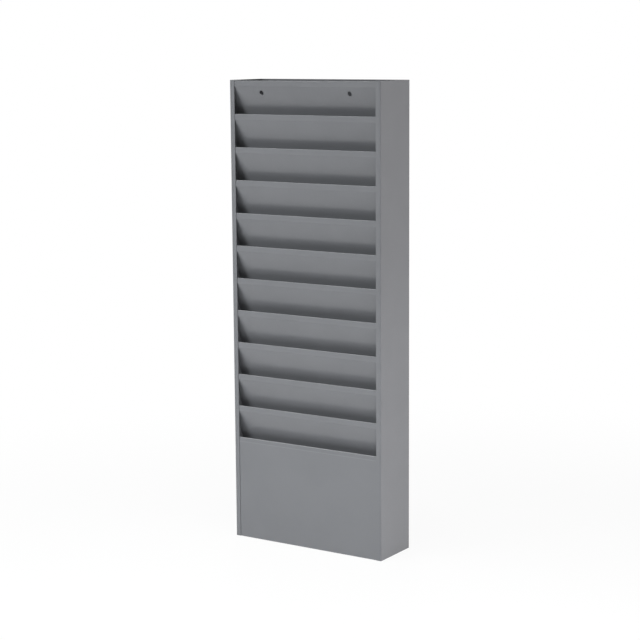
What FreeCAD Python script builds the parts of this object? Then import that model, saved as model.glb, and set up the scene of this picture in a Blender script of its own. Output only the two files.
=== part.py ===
import FreeCAD, Part
import math
import os

import Sketcher

# Wall-hung literature rack in folded steel sheet, millimetres, +Z up.
# The rack's front faces -Y and its back hangs on a wall towards +Y.
# The origin is midway between the two wall screw holes, on the rear face of the back panel.

doc = FreeCAD.newDocument("literature_rack")
sheet = doc.addObject("Spreadsheet::Sheet", "Dimensions")

# ---------------------------------------------------------------- driving dimensions

DIMENSIONS = (
    ("rack_width", "342", "over the outer faces of the side panels"),
    ("rack_depth", "108", "from the front flanges to the wall"),
    ("rack_height", "914.4", "over the side panels"),
    ("body_sheet", "1.2", "steel of the sides, back, bottom and lower front"),
    ("divider_sheet", "0.9", "steel of the dividers and the top panel"),
    ("bend_radius", "1", "inside radius of an ordinary bend"),
    ("front_flange", "10.5", "width of a side panel's front return"),
    ("rear_flange", "14", "width of a side panel's rear return"),
    ("pocket_pitch", "64.4", "height from one lip to the next"),
    ("lip_drop", "1.2", "top panel's lip below the top of the side panels"),
    ("lip_height", "10.5", "upright lip of a divider, from its top to the bend"),
    ("slope_angle", "23", "lean of a divider from upright, in degrees"),
    ("hem_height", "8", "sheet turned down behind a lip"),
    ("hem_radius", "0.3", "inside radius of a hem"),
    ("foot_height", "8", "divider's weld foot on the back panel"),
    ("tab_depth", "8", "divider's weld tabs on the side panels"),
    ("tab_bend", "0.6", "outside radius where a tab turns back"),
    ("tab_relief", "14", "bare slope above a tab"),
    ("foot_relief", "32", "bare slope below a tab"),
    ("base_flange", "12", "bottom panel's upturned front edge"),
    ("seat_gap", "0.2", "play at each end of the bottom panel"),
    ("hole_spacing", "200", "between the two wall screws"),
    ("hole_drop", "24.4", "wall screws below the top of the rack"),
    ("wall_hole", "5", "diameter, in the back panel"),
    ("access_hole", "9", "diameter, in the top panel, for a screwdriver"),
)
DIVIDERS = 10

for row, (alias, text, meaning) in enumerate(DIMENSIONS, start=1):
    sheet.set("A%d" % row, alias)
    sheet.set("B%d" % row, text)
    sheet.set("C%d" % row, meaning)
    sheet.setAlias("B%d" % row, alias)
doc.recompute()


def size(alias):
    return float(sheet.get(alias))


# Distances that several pieces share, as expressions on the sheet
D = "Dimensions."
INNER_HALF = "(%srack_width / 2 - %sbody_sheet)" % (D, D)
BEND_HALF = "(%srack_width / 2 - %sbody_sheet - %sbend_radius)" % (D, D, D)
INNER_DEPTH = "(%srack_depth - 3 * %sbody_sheet)" % (D, D)
FRONT_SEAT = "(2 * %sbody_sheet - %srack_depth)" % (D, D)
BOTTOM = "(%shole_drop - %srack_height)" % (D, D)
TOP_LIP = "(%shole_drop - %slip_drop)" % (D, D)

inner_half = size("rack_width") / 2 - size("body_sheet")
bend_half = inner_half - size("bend_radius")
inner_depth = size("rack_depth") - 3 * size("body_sheet")
slope = math.radians(size("slope_angle"))


# ---------------------------------------------------------------- sketch helpers

def new_body(label):
    body = doc.addObject("PartDesign::Body", label)
    body.Label = label
    return body


def place(body, x="0", y="0", z="0"):
    """Ties a body's place to the sheet."""
    body.setExpression("Placement.Base.x", x)
    body.setExpression("Placement.Base.y", y)
    body.setExpression("Placement.Base.z", z)


def origin_plane(body, role):
    """The body's own origin plane of that role, such as XY_Plane."""
    plane = [item for item in body.Origin.OriginFeatures if item.Role == role][0]
    return (plane, [""])


def new_sketch(body, name, role):
    sketch = body.newObject("Sketcher::SketchObject", "%s_%s" % (body.Label, name))
    sketch.AttachmentSupport = origin_plane(body, role)
    sketch.MapMode = "FlatFace"
    return sketch


def tie(sketch, name, constraint, expression):
    """Adds a named constraint whose value follows an expression."""
    index = sketch.addConstraint(constraint)
    sketch.renameConstraint(index, name)
    sketch.setExpression("Constraints." + name, expression)


def tie_x(sketch, name, edge, end, expression):
    """Holds a point's distance from the sketch's upright axis."""
    at = sketch.getPoint(edge, end).x
    tie(sketch, name, Sketcher.Constraint("DistanceX", -1, 1, edge, end, at), expression)


def tie_y(sketch, name, edge, end, expression):
    """Holds a point's distance from the sketch's level axis."""
    at = sketch.getPoint(edge, end).y
    tie(sketch, name, Sketcher.Constraint("DistanceY", -1, 1, edge, end, at), expression)


def pad(body, sketch, name, length, symmetric=False):
    feature = body.newObject("PartDesign::Pad", "%s_%s" % (body.Label, name))
    feature.Profile = sketch
    feature.Midplane = symmetric
    feature.setExpression("Length", length)
    sketch.Visibility = False
    return feature


def cut_through(body, sketch, name):
    feature = body.newObject("PartDesign::Pocket", "%s_%s" % (body.Label, name))
    feature.Profile = sketch
    feature.Type = "ThroughAll"
    feature.Midplane = True
    sketch.Visibility = False
    return feature


def polygon(sketch, corners):
    """Closed outline of straight edges, joined at the corners."""
    count = len(corners)
    for index in range(count):
        start = FreeCAD.Vector(*corners[index], 0)
        end = FreeCAD.Vector(*corners[(index + 1) % count], 0)
        sketch.addGeometry(Part.LineSegment(start, end))
    for index in range(count):
        sketch.addConstraint(Sketcher.Constraint("Coincident", index, 2, (index + 1) % count, 1))


def hole_pair(sketch, diameter, level):
    """Two round holes, one to each side of the rack's centre line, at the wall screws' spacing."""
    up = FreeCAD.Vector(0, 0, 1)
    for hand, name in ((-1, "left"), (1, "right")):
        centre = FreeCAD.Vector(hand * size("hole_spacing") / 2, 0, 0)
        circle = sketch.addGeometry(Part.Circle(centre, up, size(diameter) / 2))
        tie_x(sketch, name + "_across", circle, 3, "%d * %shole_spacing / 2" % (hand, D))
        tie_y(sketch, name + "_level", circle, 3, level)
        bore = Sketcher.Constraint("Diameter", circle, size(diameter))
        tie(sketch, name + "_bore", bore, D + diameter)


class FoldedStrip:
    """Outline of a folded strip of sheet, drawn as a walk of straight runs and bends.

    The outer face is on the walker's right. Both faces are drawn, a run's two lines are
    parallel, a bend's two arcs share a centre, and every joint is tangent.
    """

    def __init__(self, sketch, start, heading, gauge):
        self.sketch = sketch
        self.gauge = gauge
        self.gauge_size = size(gauge)
        self.outer = FreeCAD.Vector(start[0], start[1], 0)
        self.heading = math.radians(heading)
        self.runs = []
        self.last_bend = None
        self.bends = 0

    def ahead(self):
        return FreeCAD.Vector(math.cos(self.heading), math.sin(self.heading), 0)

    def left(self):
        return FreeCAD.Vector(-math.sin(self.heading), math.cos(self.heading), 0)

    def run(self, length, rule=None):
        sketch = self.sketch
        start = self.outer
        end = start + self.ahead() * length
        across = self.left() * self.gauge_size
        outer = sketch.addGeometry(Part.LineSegment(start, end))
        inner = sketch.addGeometry(Part.LineSegment(start + across, end + across))
        if rule:
            sketch.addConstraint(Sketcher.Constraint(rule, outer))
        sketch.addConstraint(Sketcher.Constraint("Parallel", outer, inner))
        if self.last_bend:
            outer_arc, inner_arc, leave = self.last_bend
            sketch.addConstraint(Sketcher.Constraint("Tangent", outer_arc, leave, outer, 1))
            sketch.addConstraint(Sketcher.Constraint("Tangent", inner_arc, leave, inner, 1))
        else:
            self.end_cut(outer, inner, 1)
            gauge = Sketcher.Constraint("Distance", inner, 1, outer, self.gauge_size)
            tie(sketch, "gauge", gauge, D + self.gauge)
        self.runs.append((outer, inner))
        self.outer = end
        return outer, inner

    def bend(self, degrees, radius):
        """Turns the walk, to the left for a positive angle, round a bend of that cell's radius."""
        sketch = self.sketch
        turn = math.radians(degrees)
        inside = size(radius)
        outside = inside + self.gauge_size
        to_left = turn > 0
        if to_left:
            centre = self.outer + self.left() * outside
            radii = (outside, inside)
            first, last = self.heading - math.pi / 2, self.heading - math.pi / 2 + turn
            enter, leave = 1, 2
        else:
            centre = self.outer - self.left() * inside
            radii = (inside, outside)
            first, last = self.heading + math.pi / 2 + turn, self.heading + math.pi / 2
            enter, leave = 2, 1
        up = FreeCAD.Vector(0, 0, 1)
        arcs = []
        for face, arc_radius in enumerate(radii):
            arc = Part.ArcOfCircle(Part.Circle(centre, up, arc_radius), first, last)
            index = sketch.addGeometry(arc)
            sketch.addConstraint(Sketcher.Constraint("Tangent", self.runs[-1][face], 2, index, enter))
            arcs.append(index)
        sketch.addConstraint(Sketcher.Constraint("Coincident", arcs[0], 3, arcs[1], 3))
        self.bends += 1
        inside_arc = arcs[1] if to_left else arcs[0]
        limit = Sketcher.Constraint("Radius", inside_arc, inside)
        tie(sketch, "bend_%d" % self.bends, limit, D + radius)
        self.heading += turn
        from_centre = -self.left() if to_left else self.left()
        self.outer = centre + from_centre * radii[0]
        self.last_bend = (arcs[0], arcs[1], leave)
        return arcs

    def end_cut(self, outer, inner, end):
        sketch = self.sketch
        line = Part.LineSegment(sketch.getPoint(outer, end), sketch.getPoint(inner, end))
        cut = sketch.addGeometry(line)
        sketch.addConstraint(Sketcher.Constraint("Coincident", cut, 1, outer, end))
        sketch.addConstraint(Sketcher.Constraint("Coincident", cut, 2, inner, end))
        sketch.addConstraint(Sketcher.Constraint("Perpendicular", cut, outer))

    def finish(self):
        outer, inner = self.runs[-1]
        self.end_cut(outer, inner, 2)


# ---------------------------------------------------------------- side panels

def make_side_panel(label, hand):
    """Channel with a front and a rear return; hand is 1 on the right and -1 on the left."""
    body = new_body(label)
    place(body, z=BOTTOM)
    sketch = new_sketch(body, "plan", "XY_Plane")
    outside = size("bend_radius") + size("body_sheet")
    half = size("rack_width") / 2
    front = size("body_sheet") - size("rack_depth")
    flanges = [("front", front), ("rear", size("body_sheet"))]
    if hand < 0:
        flanges.reverse()
    (first, first_y), (last, last_y) = flanges
    first_width = size(first + "_flange")
    last_width = size(last + "_flange")
    corner = (hand * (half - first_width), first_y)
    strip = FoldedStrip(sketch, corner, 90 - 90 * hand, "body_sheet")
    first_run, _ = strip.run(first_width - outside, "Horizontal")
    strip.bend(90, "bend_radius")
    side_run, _ = strip.run(size("rack_depth") - 2 * outside, "Vertical")
    strip.bend(90, "bend_radius")
    last_run, _ = strip.run(last_width - outside, "Horizontal")
    strip.finish()
    level = {"front": "%sbody_sheet - %srack_depth" % (D, D), "rear": D + "body_sheet"}
    edge = "%d * (%srack_width / 2 - %s%s_flange)"
    tie_x(sketch, "first_edge", first_run, 1, edge % (hand, D, D, first))
    tie_x(sketch, "last_edge", last_run, 2, edge % (hand, D, D, last))
    tie_x(sketch, "side_face", side_run, 1, "%d * %srack_width / 2" % (hand, D))
    tie_y(sketch, "first_face", first_run, 1, level[first])
    tie_y(sketch, "last_face", last_run, 2, level[last])
    pad(body, sketch, "channel", D + "rack_height")
    return body


# ---------------------------------------------------------------- back panel

def make_back_panel():
    """Flat sheet inside the rear returns, with the two wall screw holes."""
    body = new_body("back_panel")
    outline = new_sketch(body, "outline", "XZ_Plane")
    top = size("hole_drop")
    bottom = top - size("rack_height")
    corners = [(-bend_half, bottom), (bend_half, bottom), (bend_half, top), (-bend_half, top)]
    polygon(outline, corners)
    for edge, rule in enumerate(("Horizontal", "Vertical", "Horizontal", "Vertical")):
        outline.addConstraint(Sketcher.Constraint(rule, edge))
    tie_x(outline, "left_edge", 0, 1, "-" + BEND_HALF)
    tie_x(outline, "right_edge", 1, 1, BEND_HALF)
    tie_y(outline, "bottom_edge", 0, 1, BOTTOM)
    tie_y(outline, "top_edge", 2, 1, D + "hole_drop")
    pad(body, outline, "panel", D + "body_sheet")
    holes = new_sketch(body, "screw_holes", "XZ_Plane")
    hole_pair(holes, "wall_hole", "0")
    cut_through(body, holes, "holes")
    return body


# ---------------------------------------------------------------- sloped sheets

def make_sloped_sheet(label, steps_down):
    """Hemmed lip, sloping sheet and weld foot, with a weld tab at each end.

    The piece's own origin is the top of the lip, on its front face.
    """
    body = new_body(label)
    place(body, y=FRONT_SEAT, z="%s - %d * %spocket_pitch" % (TOP_LIP, steps_down, D))
    gauge = size("divider_sheet")
    radius = size("bend_radius")
    hem_outside = size("hem_radius") + gauge
    slope_run = inner_depth - gauge - (2 * radius + gauge) * (1 - math.cos(slope))
    slope_run = slope_run / math.sin(slope)

    profile = new_sketch(body, "profile", "YZ_Plane")
    strip = FoldedStrip(profile, (2 * hem_outside, -size("hem_height")), 90, "divider_sheet")
    hem, _ = strip.run(size("hem_height") - hem_outside, "Vertical")
    hem_arcs = strip.bend(180, "hem_radius")
    lip, _ = strip.run(size("lip_height") - hem_outside, "Vertical")
    strip.bend(size("slope_angle"), "bend_radius")
    sloping, _ = strip.run(slope_run)
    strip.bend(-size("slope_angle"), "bend_radius")
    foot, foot_back = strip.run(size("foot_height"), "Vertical")
    strip.finish()
    profile.addConstraint(Sketcher.Constraint("PointOnObject", lip, 1, -2))
    tie_y(profile, "hem_end", hem, 1, "-%shem_height" % D)
    tie_y(profile, "hem_centre", hem_arcs[0], 3, "-(%shem_radius + %sdivider_sheet)" % (D, D))
    tie_y(profile, "lip_end", lip, 2, "-%slip_height" % D)
    lean = Sketcher.Constraint("Angle", sloping, slope - math.pi / 2)
    tie(profile, "lean", lean, "(%sslope_angle - 90) * 1 deg" % D)
    tie_x(profile, "foot_face", foot_back, 2, INNER_DEPTH)
    foot_length = Sketcher.Constraint("Distance", foot, size("foot_height"))
    tie(profile, "foot_length", foot_length, D + "foot_height")
    pad(body, profile, "folded", "2 * " + BEND_HALF, symmetric=True)

    # The end strip carries the slope out to the side panel, and the tab turns back along it
    start_back = (gauge + radius) * (1 - math.cos(slope))
    start_down = size("lip_height") + (gauge + radius) * math.sin(slope)
    bulge = "(%sdivider_sheet + %sbend_radius)" % (D, D)
    lean = "%sslope_angle * 1 deg" % D
    run = "((%s - %sdivider_sheet - (%s + %sbend_radius) * (1 - cos(%s))) / sin(%s))"
    run = run % (INNER_DEPTH, D, bulge, D, lean, lean)
    relief = size("tab_relief")
    length = slope_run - relief - size("foot_relief")
    down = FreeCAD.Vector(math.sin(slope), -math.cos(slope), 0)
    back = FreeCAD.Vector(math.cos(slope), math.sin(slope), 0)
    upper = FreeCAD.Vector(start_back, -start_down, 0) + down * relief
    end_plane = "(%s - %sdivider_sheet)" % (INNER_HALF, D)
    ends = (
        ("end_strip", "divider_sheet", D + "bend_radius", BEND_HALF),
        ("tab", "tab_depth", D + "divider_sheet", end_plane),
    )
    grown = []
    for name, depth, width, offset in ends:
        outline = new_sketch(body, name + "_outline", "YZ_Plane")
        outline.setExpression("AttachmentOffset.Base.z", offset)
        far = back * size(depth)
        corners = (upper, upper + down * length, upper + down * length + far, upper + far)
        polygon(outline, [(corner.x, corner.y) for corner in corners])
        for edge in range(3):
            outline.addConstraint(Sketcher.Constraint("Perpendicular", edge, edge + 1))
        along = Sketcher.Constraint("Angle", 0, slope - math.pi / 2)
        tie(outline, "along", along, "(%sslope_angle - 90) * 1 deg" % D)
        behind = "%s * (1 - cos(%s)) + %stab_relief * sin(%s)" % (bulge, lean, D, lean)
        tie_x(outline, "behind_lip", 0, 1, behind)
        below = "-(%slip_height + %s * sin(%s) + %stab_relief * cos(%s))" % (D, bulge, lean, D, lean)
        tie_y(outline, "below_lip", 0, 1, below)
        tab_run = "%s - %stab_relief - %sfoot_relief" % (run, D, D)
        tie(outline, "length", Sketcher.Constraint("Distance", 0, length), tab_run)
        tie(outline, "depth", Sketcher.Constraint("Distance", 1, size(depth)), D + depth)
        grown.append(pad(body, outline, name, width))
    doc.recompute()
    mirror = body.newObject("PartDesign::Mirrored", label + "_both_ends")
    mirror.Originals = grown
    mirror.MirrorPlane = origin_plane(body, "YZ_Plane")
    body.Tip = mirror
    doc.recompute()
    round_tab_bends(body, mirror, upper, down, length)
    return body


def round_tab_bends(body, base, upper, down, length):
    """Rounds the outer corner where each end strip turns into its tab."""
    middle = upper + down * (length / 2)
    names = []
    for number, edge in enumerate(base.Shape.Edges, start=1):
        centre = edge.CenterOfMass
        along = abs(edge.Length - length) < 0.01
        on_front = abs(centre.y - middle.x) < 0.01 and abs(centre.z - middle.y) < 0.01
        at_end = abs(abs(centre.x) - inner_half) < 0.01
        if along and on_front and at_end:
            names.append("Edge%d" % number)
    if len(names) != 2:
        raise RuntimeError("%s: the tab corners were not found" % body.Label)
    fillet = body.newObject("PartDesign::Fillet", body.Label + "_tab_bends")
    fillet.Base = (base, names)
    fillet.setExpression("Radius", D + "tab_bend")
    body.Tip = fillet


def make_top_panel():
    """The uppermost sloped sheet, with two holes that let a screwdriver reach the wall screws."""
    body = make_sloped_sheet("top_panel", 0)
    holes = new_sketch(body, "access_holes", "XZ_Plane")
    hole_pair(holes, "access_hole", "-" + TOP_LIP)
    cut_through(body, holes, "holes")
    return body


# ---------------------------------------------------------------- lower front and bottom

def make_lower_front():
    """Flat front below the last pocket, with a hemmed top edge."""
    body = new_body("lower_front_panel")
    steps = DIVIDERS + 1
    place(body, y=FRONT_SEAT, z="%s - %d * %spocket_pitch" % (TOP_LIP, steps, D))
    height = size("rack_height") - size("lip_drop") - steps * size("pocket_pitch")
    hem_outside = size("hem_radius") + size("body_sheet")
    profile = new_sketch(body, "profile", "YZ_Plane")
    strip = FoldedStrip(profile, (2 * hem_outside, -size("hem_height")), 90, "body_sheet")
    hem, _ = strip.run(size("hem_height") - hem_outside, "Vertical")
    hem_arcs = strip.bend(180, "hem_radius")
    face, _ = strip.run(height - hem_outside, "Vertical")
    strip.finish()
    profile.addConstraint(Sketcher.Constraint("PointOnObject", face, 1, -2))
    tie_y(profile, "hem_end", hem, 1, "-%shem_height" % D)
    tie_y(profile, "hem_centre", hem_arcs[0], 3, "-(%shem_radius + %sbody_sheet)" % (D, D))
    below = "%slip_drop + %d * %spocket_pitch - %srack_height" % (D, steps, D, D)
    tie_y(profile, "bottom_edge", face, 2, below)
    pad(body, profile, "folded", "2 * " + BEND_HALF, symmetric=True)
    return body


def make_bottom_panel():
    """Closes the rack below; its front edge turns up behind the lower front panel."""
    body = new_body("bottom_panel")
    place(body, y="%s + %sbody_sheet" % (FRONT_SEAT, D), z=BOTTOM)
    depth = inner_depth - size("body_sheet")
    outside = size("bend_radius") + size("body_sheet")
    profile = new_sketch(body, "profile", "YZ_Plane")
    strip = FoldedStrip(profile, (0, size("base_flange")), 270, "body_sheet")
    flange, _ = strip.run(size("base_flange") - outside, "Vertical")
    strip.bend(90, "bend_radius")
    base, _ = strip.run(depth - outside, "Horizontal")
    strip.finish()
    profile.addConstraint(Sketcher.Constraint("PointOnObject", flange, 1, -2))
    profile.addConstraint(Sketcher.Constraint("PointOnObject", base, 2, -1))
    tie_y(profile, "flange_top", flange, 1, D + "base_flange")
    tie_x(profile, "rear_edge", base, 2, "%s - %sbody_sheet" % (INNER_DEPTH, D))
    pad(body, profile, "folded", "2 * (%s - %sseat_gap)" % (INNER_HALF, D), symmetric=True)
    return body


# ---------------------------------------------------------------- the rack

bodies = [
    make_side_panel("left_side_panel", -1),
    make_side_panel("right_side_panel", 1),
    make_back_panel(),
    make_top_panel(),
]
for number in range(1, DIVIDERS + 1):
    bodies.append(make_sloped_sheet("divider_%02d" % number, number))
bodies.append(make_lower_front())
bodies.append(make_bottom_panel())
doc.recompute()

for item in doc.Objects:
    if "Invalid" in item.State or "Error" in item.State:
        raise RuntimeError("%s failed: %s" % (item.Label, item.State))
for body in bodies:
    if body.Shape.isNull() or not body.Shape.isValid() or len(body.Shape.Solids) != 1:
        raise RuntimeError("%s is not one sound solid" % body.Label)

os.makedirs("parts", exist_ok=True)
for body in bodies:
    body.Shape.exportStep(os.path.join("parts", body.Label + ".step"))
    box = body.Shape.BoundBox
    corners = (box.XMin, box.YMin, box.ZMin, box.XMax, box.YMax, box.ZMax)
    print(body.Label, " ".join("%.2f" % corner for corner in corners), "volume %.0f" % body.Shape.Volume)
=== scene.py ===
import math

import bmesh
import bpy
from mathutils import Matrix, Vector


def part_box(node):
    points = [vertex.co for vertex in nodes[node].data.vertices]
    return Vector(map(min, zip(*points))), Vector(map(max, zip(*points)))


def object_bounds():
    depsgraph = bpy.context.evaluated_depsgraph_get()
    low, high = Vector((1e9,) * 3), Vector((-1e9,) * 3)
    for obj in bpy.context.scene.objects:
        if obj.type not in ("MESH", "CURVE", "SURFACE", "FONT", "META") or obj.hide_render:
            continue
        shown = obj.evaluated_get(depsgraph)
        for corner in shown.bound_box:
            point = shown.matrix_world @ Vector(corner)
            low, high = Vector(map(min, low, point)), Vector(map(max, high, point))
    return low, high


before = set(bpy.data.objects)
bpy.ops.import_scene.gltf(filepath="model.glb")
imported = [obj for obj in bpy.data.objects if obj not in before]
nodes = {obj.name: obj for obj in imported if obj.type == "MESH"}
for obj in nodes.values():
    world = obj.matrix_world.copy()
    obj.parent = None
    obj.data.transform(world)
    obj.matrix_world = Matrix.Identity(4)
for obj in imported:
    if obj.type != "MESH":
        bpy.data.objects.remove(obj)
cad_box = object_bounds()
low, high = cad_box
middle = (low + high) / 2

WHITE = (1.0, 1.0, 1.0, 1.0)


# ---- camera: to the rack's right and above its middle, looking a little down ----

# Metres and degrees; the lens and the sensor are in millimetres.
CAMERA_PLACE = (1.8065, -2.8265, 0.0955)
CAMERA_YAW = 33.08
CAMERA_PITCH = 9.22
CAMERA_ROLL = -0.41
CAMERA_LENS = 96.27
CAMERA_SENSOR = 36.0
NEAREST_SEEN = 0.05
FARTHEST_SEEN = 60.0

camera_data = bpy.data.cameras.new("camera")
camera_data.sensor_width = CAMERA_SENSOR
camera_data.lens = CAMERA_LENS
camera_data.clip_start = NEAREST_SEEN
camera_data.clip_end = FARTHEST_SEEN
camera = bpy.data.objects.new("camera", camera_data)
bpy.context.scene.collection.objects.link(camera)
turn = Matrix.Rotation(math.radians(CAMERA_YAW), 4, "Z")
tilt = Matrix.Rotation(math.radians(90.0 - CAMERA_PITCH), 4, "X")
roll = Matrix.Rotation(math.radians(CAMERA_ROLL), 4, "Z")
camera.matrix_world = Matrix.Translation(CAMERA_PLACE) @ turn @ tilt @ roll
bpy.context.scene.camera = camera


# ---- helpers for materials ----


def new_material(name):
    """A material with an empty node tree but for its output."""
    material = bpy.data.materials.new(name)
    material.use_nodes = True
    tree = material.node_tree
    tree.nodes.clear()
    out = tree.nodes.new("ShaderNodeOutputMaterial")
    return material, tree, out


def add(tree, kind, **inputs):
    """A node of that kind, with the values of its named inputs set."""
    node = tree.nodes.new(kind)
    for key, value in inputs.items():
        node.inputs[key.replace("_", " ")].default_value = value
    return node


def math_node(tree, operation, first, second):
    """The result of an operation on two values, each a number or a socket."""
    node = tree.nodes.new("ShaderNodeMath")
    node.operation = operation
    for socket, value in zip(node.inputs, (first, second)):
        if isinstance(value, (int, float)):
            socket.default_value = value
        else:
            tree.links.new(value, socket)
    return node.outputs[0]


def fade(tree, value, start, end, at_start, at_end):
    """Runs smoothly from at_start to at_end while the value goes from start to end."""
    node = tree.nodes.new("ShaderNodeMapRange")
    node.interpolation_type = "SMOOTHSTEP"
    limits = {"From Min": start, "From Max": end, "To Min": at_start, "To Max": at_end}
    for key, limit in limits.items():
        node.inputs[key].default_value = limit
    tree.links.new(value, node.inputs["Value"])
    return node.outputs["Result"]


def noise(tree, place, size, detail):
    """Noise whose blotches are about that size across, in metres."""
    node = add(tree, "ShaderNodeTexNoise", Scale=1.0 / size, Detail=detail)
    tree.links.new(place, node.inputs["Vector"])
    return node.outputs["Fac"]


def blend_colours(tree, share, first, second):
    """Goes from the first colour to the second as the share goes from 0 to 1."""
    node = tree.nodes.new("ShaderNodeMix")
    node.data_type = "RGBA"
    colours = [socket for socket in node.inputs if socket.type == "RGBA"]
    for socket, value in zip(colours, (first, second)):
        if isinstance(value, tuple):
            socket.default_value = value
        else:
            tree.links.new(value, socket)
    tree.links.new(share, node.inputs["Factor"])
    return [socket for socket in node.outputs if socket.type == "RGBA"][0]


# ---- the powder coat ----

DULL_PAINT = (0.191, 0.195, 0.209, 1.0)
BRIGHT_PAINT = (0.2, 0.204, 0.218, 1.0)
SPECK_PAINT = (0.27, 0.275, 0.285, 1.0)
# The next grey is a painted highlight, laid along the edges that face up and along the crease line.
HIGHLIGHT_PAINT = (0.4, 0.405, 0.415, 1.0)

# Sizes are in metres. A FADE holds the levels of the noise between which a pattern comes in.
CLOUD_SIZE = 0.09
CLOUD_DETAIL = 3.0
CLOUD_FADE = (0.3, 0.7)
SPECK_SIZE = 0.0008
SPECK_FADE = (0.6, 0.8)
SPECK_SHARE = 0.5
# The painted highlight on the edges that face up comes in patches of this size and detail.
HIGHLIGHT_PATCH_SIZE = 0.02
HIGHLIGHT_PATCH_DETAIL = 4.0
HIGHLIGHT_PATCH_FADE = (0.3, 0.6)
HIGHLIGHT_PATCH_LEAST = 0.6
DIMPLE_SIZE = 0.0028
DIMPLE_HEIGHT = 0.000012
FINE_DETAIL = 1.0

# The upward parts of the surface's direction between which the painted highlight comes in.
FACING_UP = (0.5, 0.9)

COAT_IOR = 1.5
SMOOTHEST = 0.17
ROUGHEST = 0.2
SPECK_ROUGHNESS = 0.04

# The hem behind the lower front ends 8 mm below its top, and marks the sheet just under its end with a
# small bump and a painted highlight line. The bump stands CREASE_RISE times as high as the dimples.
CREASE_DROP = 0.0086
CREASE_WIDTH = 0.0014
CREASE_HIGHLIGHT_SHARE = 0.14
CREASE_RISE = 2.0


def coat_colour(tree, place, cloud, speck):
    """Cloudy and finely speckled grey, with a patchy painted highlight along the edges that face up."""
    clouds = fade(tree, cloud, *CLOUD_FADE, 0.0, 1.0)
    colour = blend_colours(tree, clouds, DULL_PAINT, BRIGHT_PAINT)
    specks = fade(tree, speck, *SPECK_FADE, 0.0, SPECK_SHARE)
    colour = blend_colours(tree, specks, colour, SPECK_PAINT)
    facing = tree.nodes.new("ShaderNodeSeparateXYZ")
    tree.links.new(tree.nodes.new("ShaderNodeTexCoord").outputs["Normal"], facing.inputs[0])
    upward = fade(tree, facing.outputs["Z"], *FACING_UP, 0.0, 1.0)
    # Painted highlight: the edges that face up turn lighter, in patches.
    patchy = fade(tree, noise(tree, place, HIGHLIGHT_PATCH_SIZE, HIGHLIGHT_PATCH_DETAIL), *HIGHLIGHT_PATCH_FADE, HIGHLIGHT_PATCH_LEAST, 1.0)
    return blend_colours(tree, math_node(tree, "MULTIPLY", upward, patchy), colour, HIGHLIGHT_PAINT)


def crease_line(tree, place, level):
    """1 on a level line at that height, falling to 0 over CREASE_WIDTH to each side."""
    part = tree.nodes.new("ShaderNodeSeparateXYZ")
    tree.links.new(place, part.inputs[0])
    above = math_node(tree, "SUBTRACT", part.outputs["Z"], level)
    return fade(tree, math_node(tree, "ABSOLUTE", above, 0.0), 0.0, CREASE_WIDTH, 1.0, 0.0)


def powder_coat(name, crease=None):
    """Satin grey powder coat, baked on after welding.

    A crease is the height at which the edge of a hem behind the sheet shows through, as a small bump
    and a painted highlight line.
    """
    material, tree, out = new_material(name)
    place = tree.nodes.new("ShaderNodeTexCoord").outputs["Object"]
    cloud = noise(tree, place, CLOUD_SIZE, CLOUD_DETAIL)
    speck = noise(tree, place, SPECK_SIZE, FINE_DETAIL)
    colour = coat_colour(tree, place, cloud, speck)
    height = noise(tree, place, DIMPLE_SIZE, FINE_DETAIL)
    if crease is not None:
        line = crease_line(tree, place, crease)
        # Painted highlight: the crease line turns lighter.
        share = math_node(tree, "MULTIPLY", line, CREASE_HIGHLIGHT_SHARE)
        colour = blend_colours(tree, share, colour, HIGHLIGHT_PAINT)
        height = math_node(tree, "ADD", height, math_node(tree, "MULTIPLY", line, CREASE_RISE))
    gloss_cloud = fade(tree, cloud, *CLOUD_FADE, SMOOTHEST, ROUGHEST)
    gloss_speck = math_node(tree, "MULTIPLY", speck, SPECK_ROUGHNESS)

    coat = add(tree, "ShaderNodeBsdfPrincipled", IOR=COAT_IOR)
    bump = add(tree, "ShaderNodeBump", Strength=1.0, Distance=DIMPLE_HEIGHT)
    tree.links.new(height, bump.inputs["Height"])
    tree.links.new(colour, coat.inputs["Base Color"])
    tree.links.new(math_node(tree, "ADD", gloss_cloud, gloss_speck), coat.inputs["Roughness"])
    tree.links.new(bump.outputs["Normal"], coat.inputs["Normal"])
    tree.links.new(coat.outputs["BSDF"], out.inputs["Surface"])
    return material


crease_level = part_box("lower_front_panel")[1].z - CREASE_DROP
plain_coat = powder_coat("powder_coat")
creased_coat = powder_coat("powder_coat_over_hem", crease=crease_level)
for name, node in nodes.items():
    node.data.materials.clear()
    node.data.materials.append(creased_coat if name == "lower_front_panel" else plain_coat)


# ---- floor and white surround ----

# To the eye, the floor is FLOOR_GLOW plain white up to FLOOR_NEAR metres from the rack's near
# corner, and wholly so from FLOOR_FAR on. The rest is its paint, which takes the rack's shadow.
FLOOR_PAINT = (0.85, 0.85, 0.85, 1.0)
FLOOR_REACH = 12.0
FLOOR_GLOW = 0.93
FLOOR_NEAR = 0.5
FLOOR_FAR = 1.6

# A gloss sees the studio white, but dark to the side that lies DIM_WAY. The next two values are
# the cosines of the angle off that way where the dark begins and where it is full.
DIM_WAY = (0.545, -0.839, 0.0)
DIM_START = 0.75
DIM_FULL = 0.92
DIM_LEVEL = 0.0

# Multiplied by this, a direction keeps only its level part.
LEVEL_PART = (1.0, 1.0, 0.0)


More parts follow.
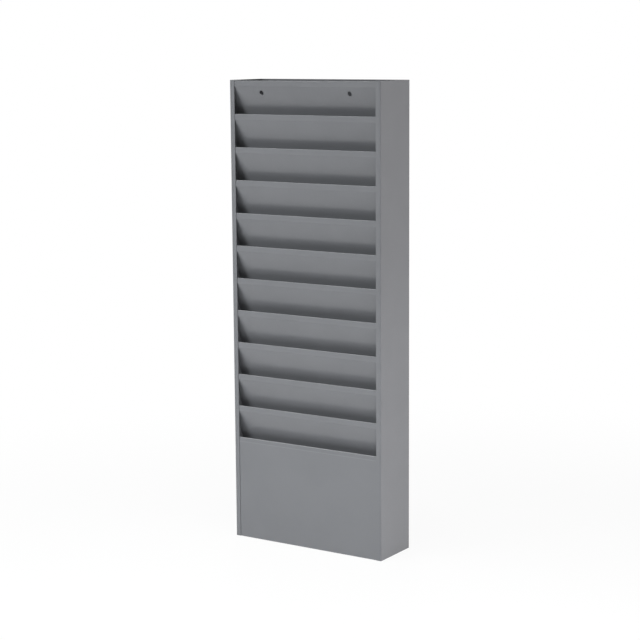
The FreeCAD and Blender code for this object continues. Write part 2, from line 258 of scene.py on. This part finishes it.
def lit_side(tree, direction):
    """1 towards the lit sides of the studio, falling to DIM_LEVEL towards its dark side."""
    level_way = tree.nodes.new("ShaderNodeVectorMath")
    level_way.operation = "MULTIPLY"
    level_way.inputs[1].default_value = LEVEL_PART
    unit = tree.nodes.new("ShaderNodeVectorMath")
    unit.operation = "NORMALIZE"
    towards = tree.nodes.new("ShaderNodeVectorMath")
    towards.operation = "DOT_PRODUCT"
    towards.inputs[1].default_value = DIM_WAY
    tree.links.new(direction, level_way.inputs[0])
    tree.links.new(level_way.outputs["Vector"], unit.inputs[0])
    tree.links.new(unit.outputs["Vector"], towards.inputs[0])
    return fade(tree, towards.outputs["Value"], DIM_START, DIM_FULL, 1.0, DIM_LEVEL)


def studio_white(tree, direction):
    """How white the studio looks that way, and whether the eye or a gloss looks at it."""
    rays = tree.nodes.new("ShaderNodeLightPath")
    eye = math_node(tree, "MAXIMUM", rays.outputs["Is Camera Ray"], rays.outputs["Is Transmission Ray"])
    gloss = rays.outputs["Is Glossy Ray"]
    lit_gloss = math_node(tree, "MULTIPLY", gloss, lit_side(tree, direction))
    return math_node(tree, "MAXIMUM", eye, lit_gloss), eye, gloss


def studio_floor():
    """A white floor that keeps the rack's shadow, and that a gloss sees plain and evenly lit."""
    mesh = bpy.data.meshes.new("floor")
    bm = bmesh.new()
    bmesh.ops.create_grid(bm, x_segments=1, y_segments=1, size=FLOOR_REACH)
    bm.to_mesh(mesh)
    bm.free()
    floor = bpy.data.objects.new("floor", mesh)
    floor.location = (high.x, low.y, low.z)
    bpy.context.scene.collection.objects.link(floor)

    material, tree, out = new_material("white_floor")
    diffuse = add(tree, "ShaderNodeBsdfDiffuse", Color=FLOOR_PAINT)
    glow = add(tree, "ShaderNodeEmission", Color=WHITE)
    place = tree.nodes.new("ShaderNodeTexCoord").outputs["Object"]
    white, eye, gloss = studio_white(tree, place)
    away = tree.nodes.new("ShaderNodeVectorMath")
    away.operation = "LENGTH"
    tree.links.new(place, away.inputs[0])
    eye_share = fade(tree, away.outputs["Value"], FLOOR_NEAR, FLOOR_FAR, FLOOR_GLOW, 1.0)
    share = math_node(tree, "MAXIMUM", gloss, math_node(tree, "MULTIPLY", eye_share, eye))
    mix = tree.nodes.new("ShaderNodeMixShader")
    tree.links.new(white, glow.inputs["Strength"])
    tree.links.new(share, mix.inputs["Fac"])
    tree.links.new(diffuse.outputs[0], mix.inputs[1])
    tree.links.new(glow.outputs[0], mix.inputs[2])
    tree.links.new(mix.outputs[0], out.inputs["Surface"])
    mesh.materials.append(material)


def white_surround():
    """Plain white to the eye, the studio's lit and dark sides to a gloss, and no light of its own."""
    world = bpy.data.worlds.new("studio")
    world.use_nodes = True
    bpy.context.scene.world = world
    tree = world.node_tree
    tree.nodes.clear()
    out = tree.nodes.new("ShaderNodeOutputWorld")
    background = add(tree, "ShaderNodeBackground", Color=WHITE)
    direction = tree.nodes.new("ShaderNodeTexCoord").outputs["Generated"]
    white = studio_white(tree, direction)[0]
    tree.links.new(white, background.inputs["Strength"])
    tree.links.new(background.outputs[0], out.inputs["Surface"])


studio_floor()
white_surround()


# ---- lamps ----

PLAIN = (1.0, 1.0, 1.0)
COOL = (0.975, 1.0, 1.0)
WARM = (1.0, 0.98, 0.975)

SIDE_LAMP_LEVEL = -0.45

# A lamp over the floor aims this far behind the spot below it, which lays its width along X.
AIM_STEP = 0.001


def soft_lamp(name, place, aim, width, height, watts, colour=PLAIN):
    """A soft box, hidden from the camera and from the gloss, which sees the white studio instead."""
    data = bpy.data.lights.new(name, "AREA")
    data.shape = "RECTANGLE"
    data.size = width
    data.size_y = height
    data.energy = watts
    data.color = colour
    lamp = bpy.data.objects.new(name, data)
    way = Vector(aim) - Vector(place)
    lamp.matrix_world = Matrix.Translation(place) @ way.to_track_quat("-Z", "Y").to_matrix().to_4x4()
    lamp.visible_camera = False
    lamp.visible_glossy = False
    bpy.context.scene.collection.objects.link(lamp)


def floor_lamp(name, place, width, height, watts, colour=PLAIN):
    """A soft box that shines down on the floor, whose bounce lights the sloped sheets from below."""
    aim = (place[0], place[1] + AIM_STEP, low.z)
    soft_lamp(name, place, aim, width, height, watts, colour)


soft_lamp(
    "front_lamp", place=(-1.25, -2.3, 0.2), aim=middle,
    width=1.0, height=0.6, watts=25.7, colour=COOL,
)
soft_lamp(
    "side_lamp", place=(2.4, -0.1, SIDE_LAMP_LEVEL), aim=(high.x, middle.y, SIDE_LAMP_LEVEL),
    width=0.8, height=0.8, watts=23.4, colour=WARM,
)
soft_lamp(
    "overhead_lamp", place=(0.0, -0.35, 1.5), aim=(0.0, -0.2, low.z),
    width=1.2, height=0.4, watts=16.8, colour=COOL,
)
soft_lamp("back_lamp", place=(-1.4, 1.9, 0.1), aim=middle, width=1.2, height=1.2, watts=27.0)
floor_lamp("upper_floor_lamp", place=(0.0, -0.5, 0.1), width=1.2, height=0.4, watts=1.9, colour=COOL)
floor_lamp("middle_floor_lamp", place=(0.0, -1.0, -0.1), width=1.4, height=0.6, watts=3.7, colour=COOL)
floor_lamp("lower_floor_lamp", place=(0.0, -0.6, -0.4), width=1.2, height=0.4, watts=0.8, colour=COOL)
floor_lamp("right_floor_lamp", place=(0.8, -0.5, -0.3), width=0.6, height=0.8, watts=2.8)

bpy.context.scene.view_settings.view_transform = "Standard"
